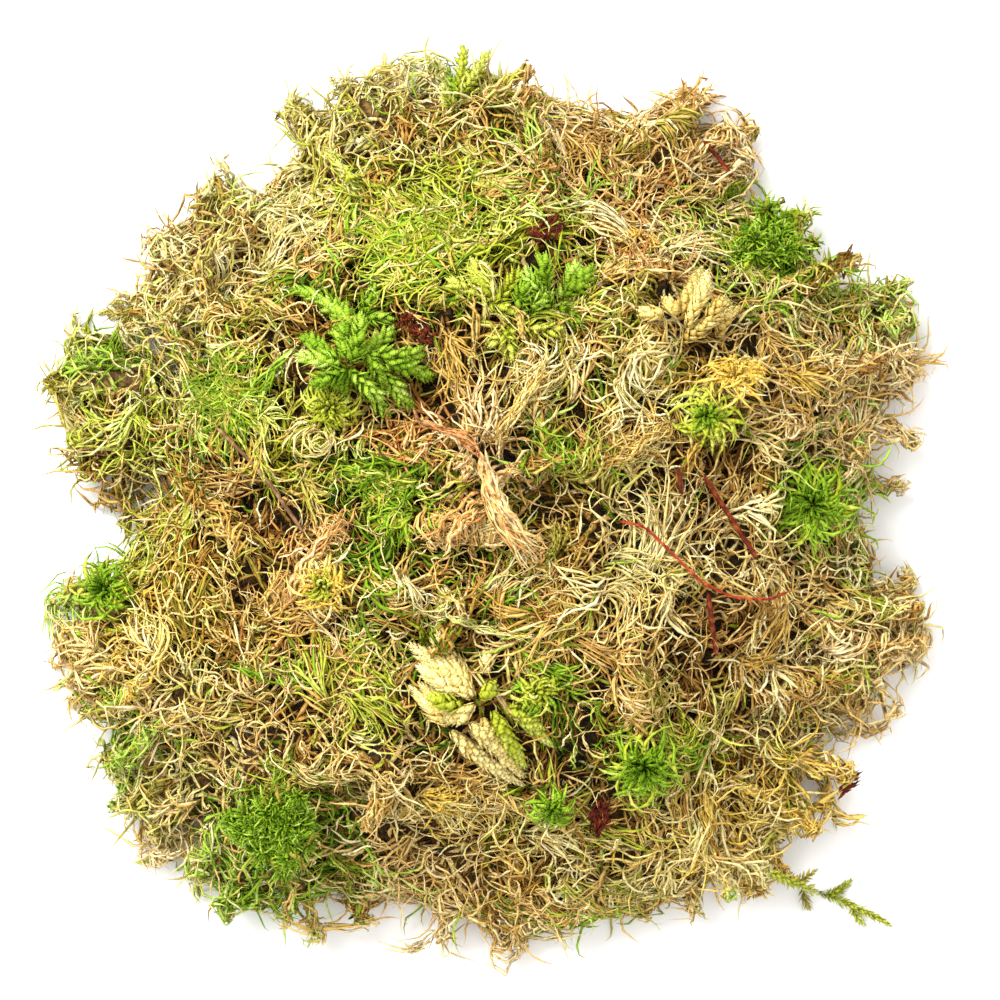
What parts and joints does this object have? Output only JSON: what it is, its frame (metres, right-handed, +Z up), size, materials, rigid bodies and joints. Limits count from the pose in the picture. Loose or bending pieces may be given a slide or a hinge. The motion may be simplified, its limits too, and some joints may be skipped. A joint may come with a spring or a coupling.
{
  "type": "moss clump",
  "caption": "Low round heap of tangled sphagnum moss strands with tufts round its rim, star-shaped and leafy heads on top, and bits of twig, needle and bark.",
  "frame": {"origin": "middle of the heap's outline, on the flat surface that it lies on", "axes": "+Z up out of the heap, +X to the right and +Y away as the picture shows it from straight above"},
  "size_m": [0.1424, 0.1476, 0.0463],
  "materials": {
    "straw_moss": "dry, matte, straw to brown, in fine curled strands",
    "olive_moss": "matte olive and straw strands",
    "gold_moss": "matte golden strands",
    "green_moss": "fresh green, slightly glossy",
    "lime_moss": "lime green, slightly translucent",
    "cream_moss": "pale cream green, matte",
    "peach_sheath": "dry, frayed, peach-coloured",
    "brown_twig": "dull brown",
    "red_litter": "dark red, slightly glossy",
    "bark": "dark red-brown, rough"
  },
  "bodies": {
    "root": {"bark_low": "bark", "bark_middle": "bark", "bark_right": "bark", "bark_top": "bark", "cream_head_low": "cream_moss", "cream_head_right": "cream_moss", "cushion_green": "green_moss", "frayed_stem_left": "peach_sheath", "frayed_stem_middle": "cream_moss", "frayed_stem_right": "cream_moss", "grass_green_left": "green_moss", "grass_green_middle": "green_moss", "green_cap_right": "green_moss", "leafy_head_left": "green_moss", "leafy_head_top": "green_moss", "lime_spread_top": "lime_moss", "moss_bed": "straw_moss", "needle_middle": "red_litter", "needle_right": "red_litter", "needle_right_low": "red_litter", "needle_upper_right": "red_litter", "red_thread": "red_litter", "rosette_green_left": "green_moss", "rosette_green_low": "green_moss", "rosette_green_right": "green_moss", "rosette_green_small": "green_moss", "rosette_lime_left": "lime_moss", "rosette_lime_low": "lime_moss", "rosette_lime_right": "lime_moss", "rosette_yellow_left": "gold_moss", "rosette_yellow_right": "gold_moss", "sheath_peach": "peach_sheath", "sprig_trailing": "lime_moss", "sprout_top": "green_moss", "stem_pale_middle": "lime_moss", "tuft_bottom_left": "green_moss", "tuft_far_right": "straw_moss", "tuft_left": "olive_moss", "tuft_left_low": "gold_moss", "tuft_lower_left": "olive_moss", "tuft_lower_right": "gold_moss", "tuft_right_low": "straw_moss", "tuft_top_left": "olive_moss", "tuft_upper_left": "straw_moss", "tuft_upper_right": "straw_moss", "twig_brown": "brown_twig"}
  },
  "joints": []
}
